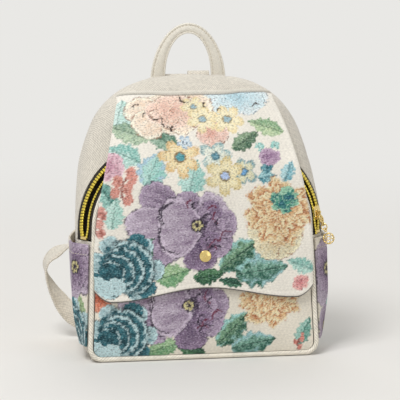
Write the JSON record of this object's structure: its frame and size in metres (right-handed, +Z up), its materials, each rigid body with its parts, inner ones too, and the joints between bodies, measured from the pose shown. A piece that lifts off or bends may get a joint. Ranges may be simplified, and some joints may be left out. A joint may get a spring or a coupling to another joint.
{
  "type": "backpack",
  "caption": "Small cloth backpack with an arched body, a snapped front flap over an open curved zip, open side pockets, a carrying loop and shoulder straps.",
  "frame": {"origin": "middle of the base, on the floor", "axes": "+Z up; the front with the flap faces -Y; +X is the viewer's right, the side where the zip's slider sits"},
  "size_m": [0.2971, 0.1601, 0.3419],
  "materials": {
    "canvas": "matte",
    "canvas_pale": "matte",
    "tapestry": "matte woven",
    "zip_tape": "matte",
    "gold_metal": "polished"
  },
  "bodies": {
    "bag": {"base_panel": "canvas", "front_panel": "tapestry", "back_panel": "canvas", "side_left": "canvas", "side_right": "canvas", "top_band": "canvas", "piping_front": "canvas_pale", "zip_tape_front": "zip_tape", "zip_tape_rear": "zip_tape", "zip_teeth_front": "gold_metal", "zip_teeth_rear": "gold_metal", "zip_stops": "gold_metal", "flap": "tapestry", "snap_cap": "gold_metal", "snap_socket": "gold_metal", "snap_stud": "gold_metal", "pocket_left": "tapestry", "pocket_right": "tapestry", "handle": "canvas_pale", "strap_left": "canvas", "strap_right": "canvas"},
    "zip_slider": {"zip_slider": "gold_metal"},
    "zip_pull": {"zip_pull": "gold_metal"},
    "pull_ring": {"pull_ring": "gold_metal"},
    "charm": {"charm": "gold_metal"}
  },
  "joints": [
    {"name": "slider_run", "type": "hinge", "parent": "bag", "child": "zip_slider", "pos_m": [0.03807, -0.04611, 0.13836], "axis": [0, -0.9969, 0.0785], "range_deg": [0, 34]},
    {"name": "pull_swing", "type": "hinge", "parent": "zip_slider", "child": "zip_pull", "pos_m": [0.12492, -0.03692, 0.14899], "axis": [-0.6105, -0.7918, -0.0174], "range_deg": [0, 100]},
    {"name": "ring_swing", "type": "hinge", "parent": "zip_pull", "child": "pull_ring", "pos_m": [0.12917, -0.03993, 0.13708], "axis": [-0.7214, 0.565, -0.4005], "range_deg": [-20, 20]},
    {"name": "charm_swing", "type": "hinge", "parent": "pull_ring", "child": "charm", "pos_m": [0.1314, -0.04151, 0.13085], "axis": [0.6105, 0.7918, 0.0174], "range_deg": [-30, 2]}
  ]
}
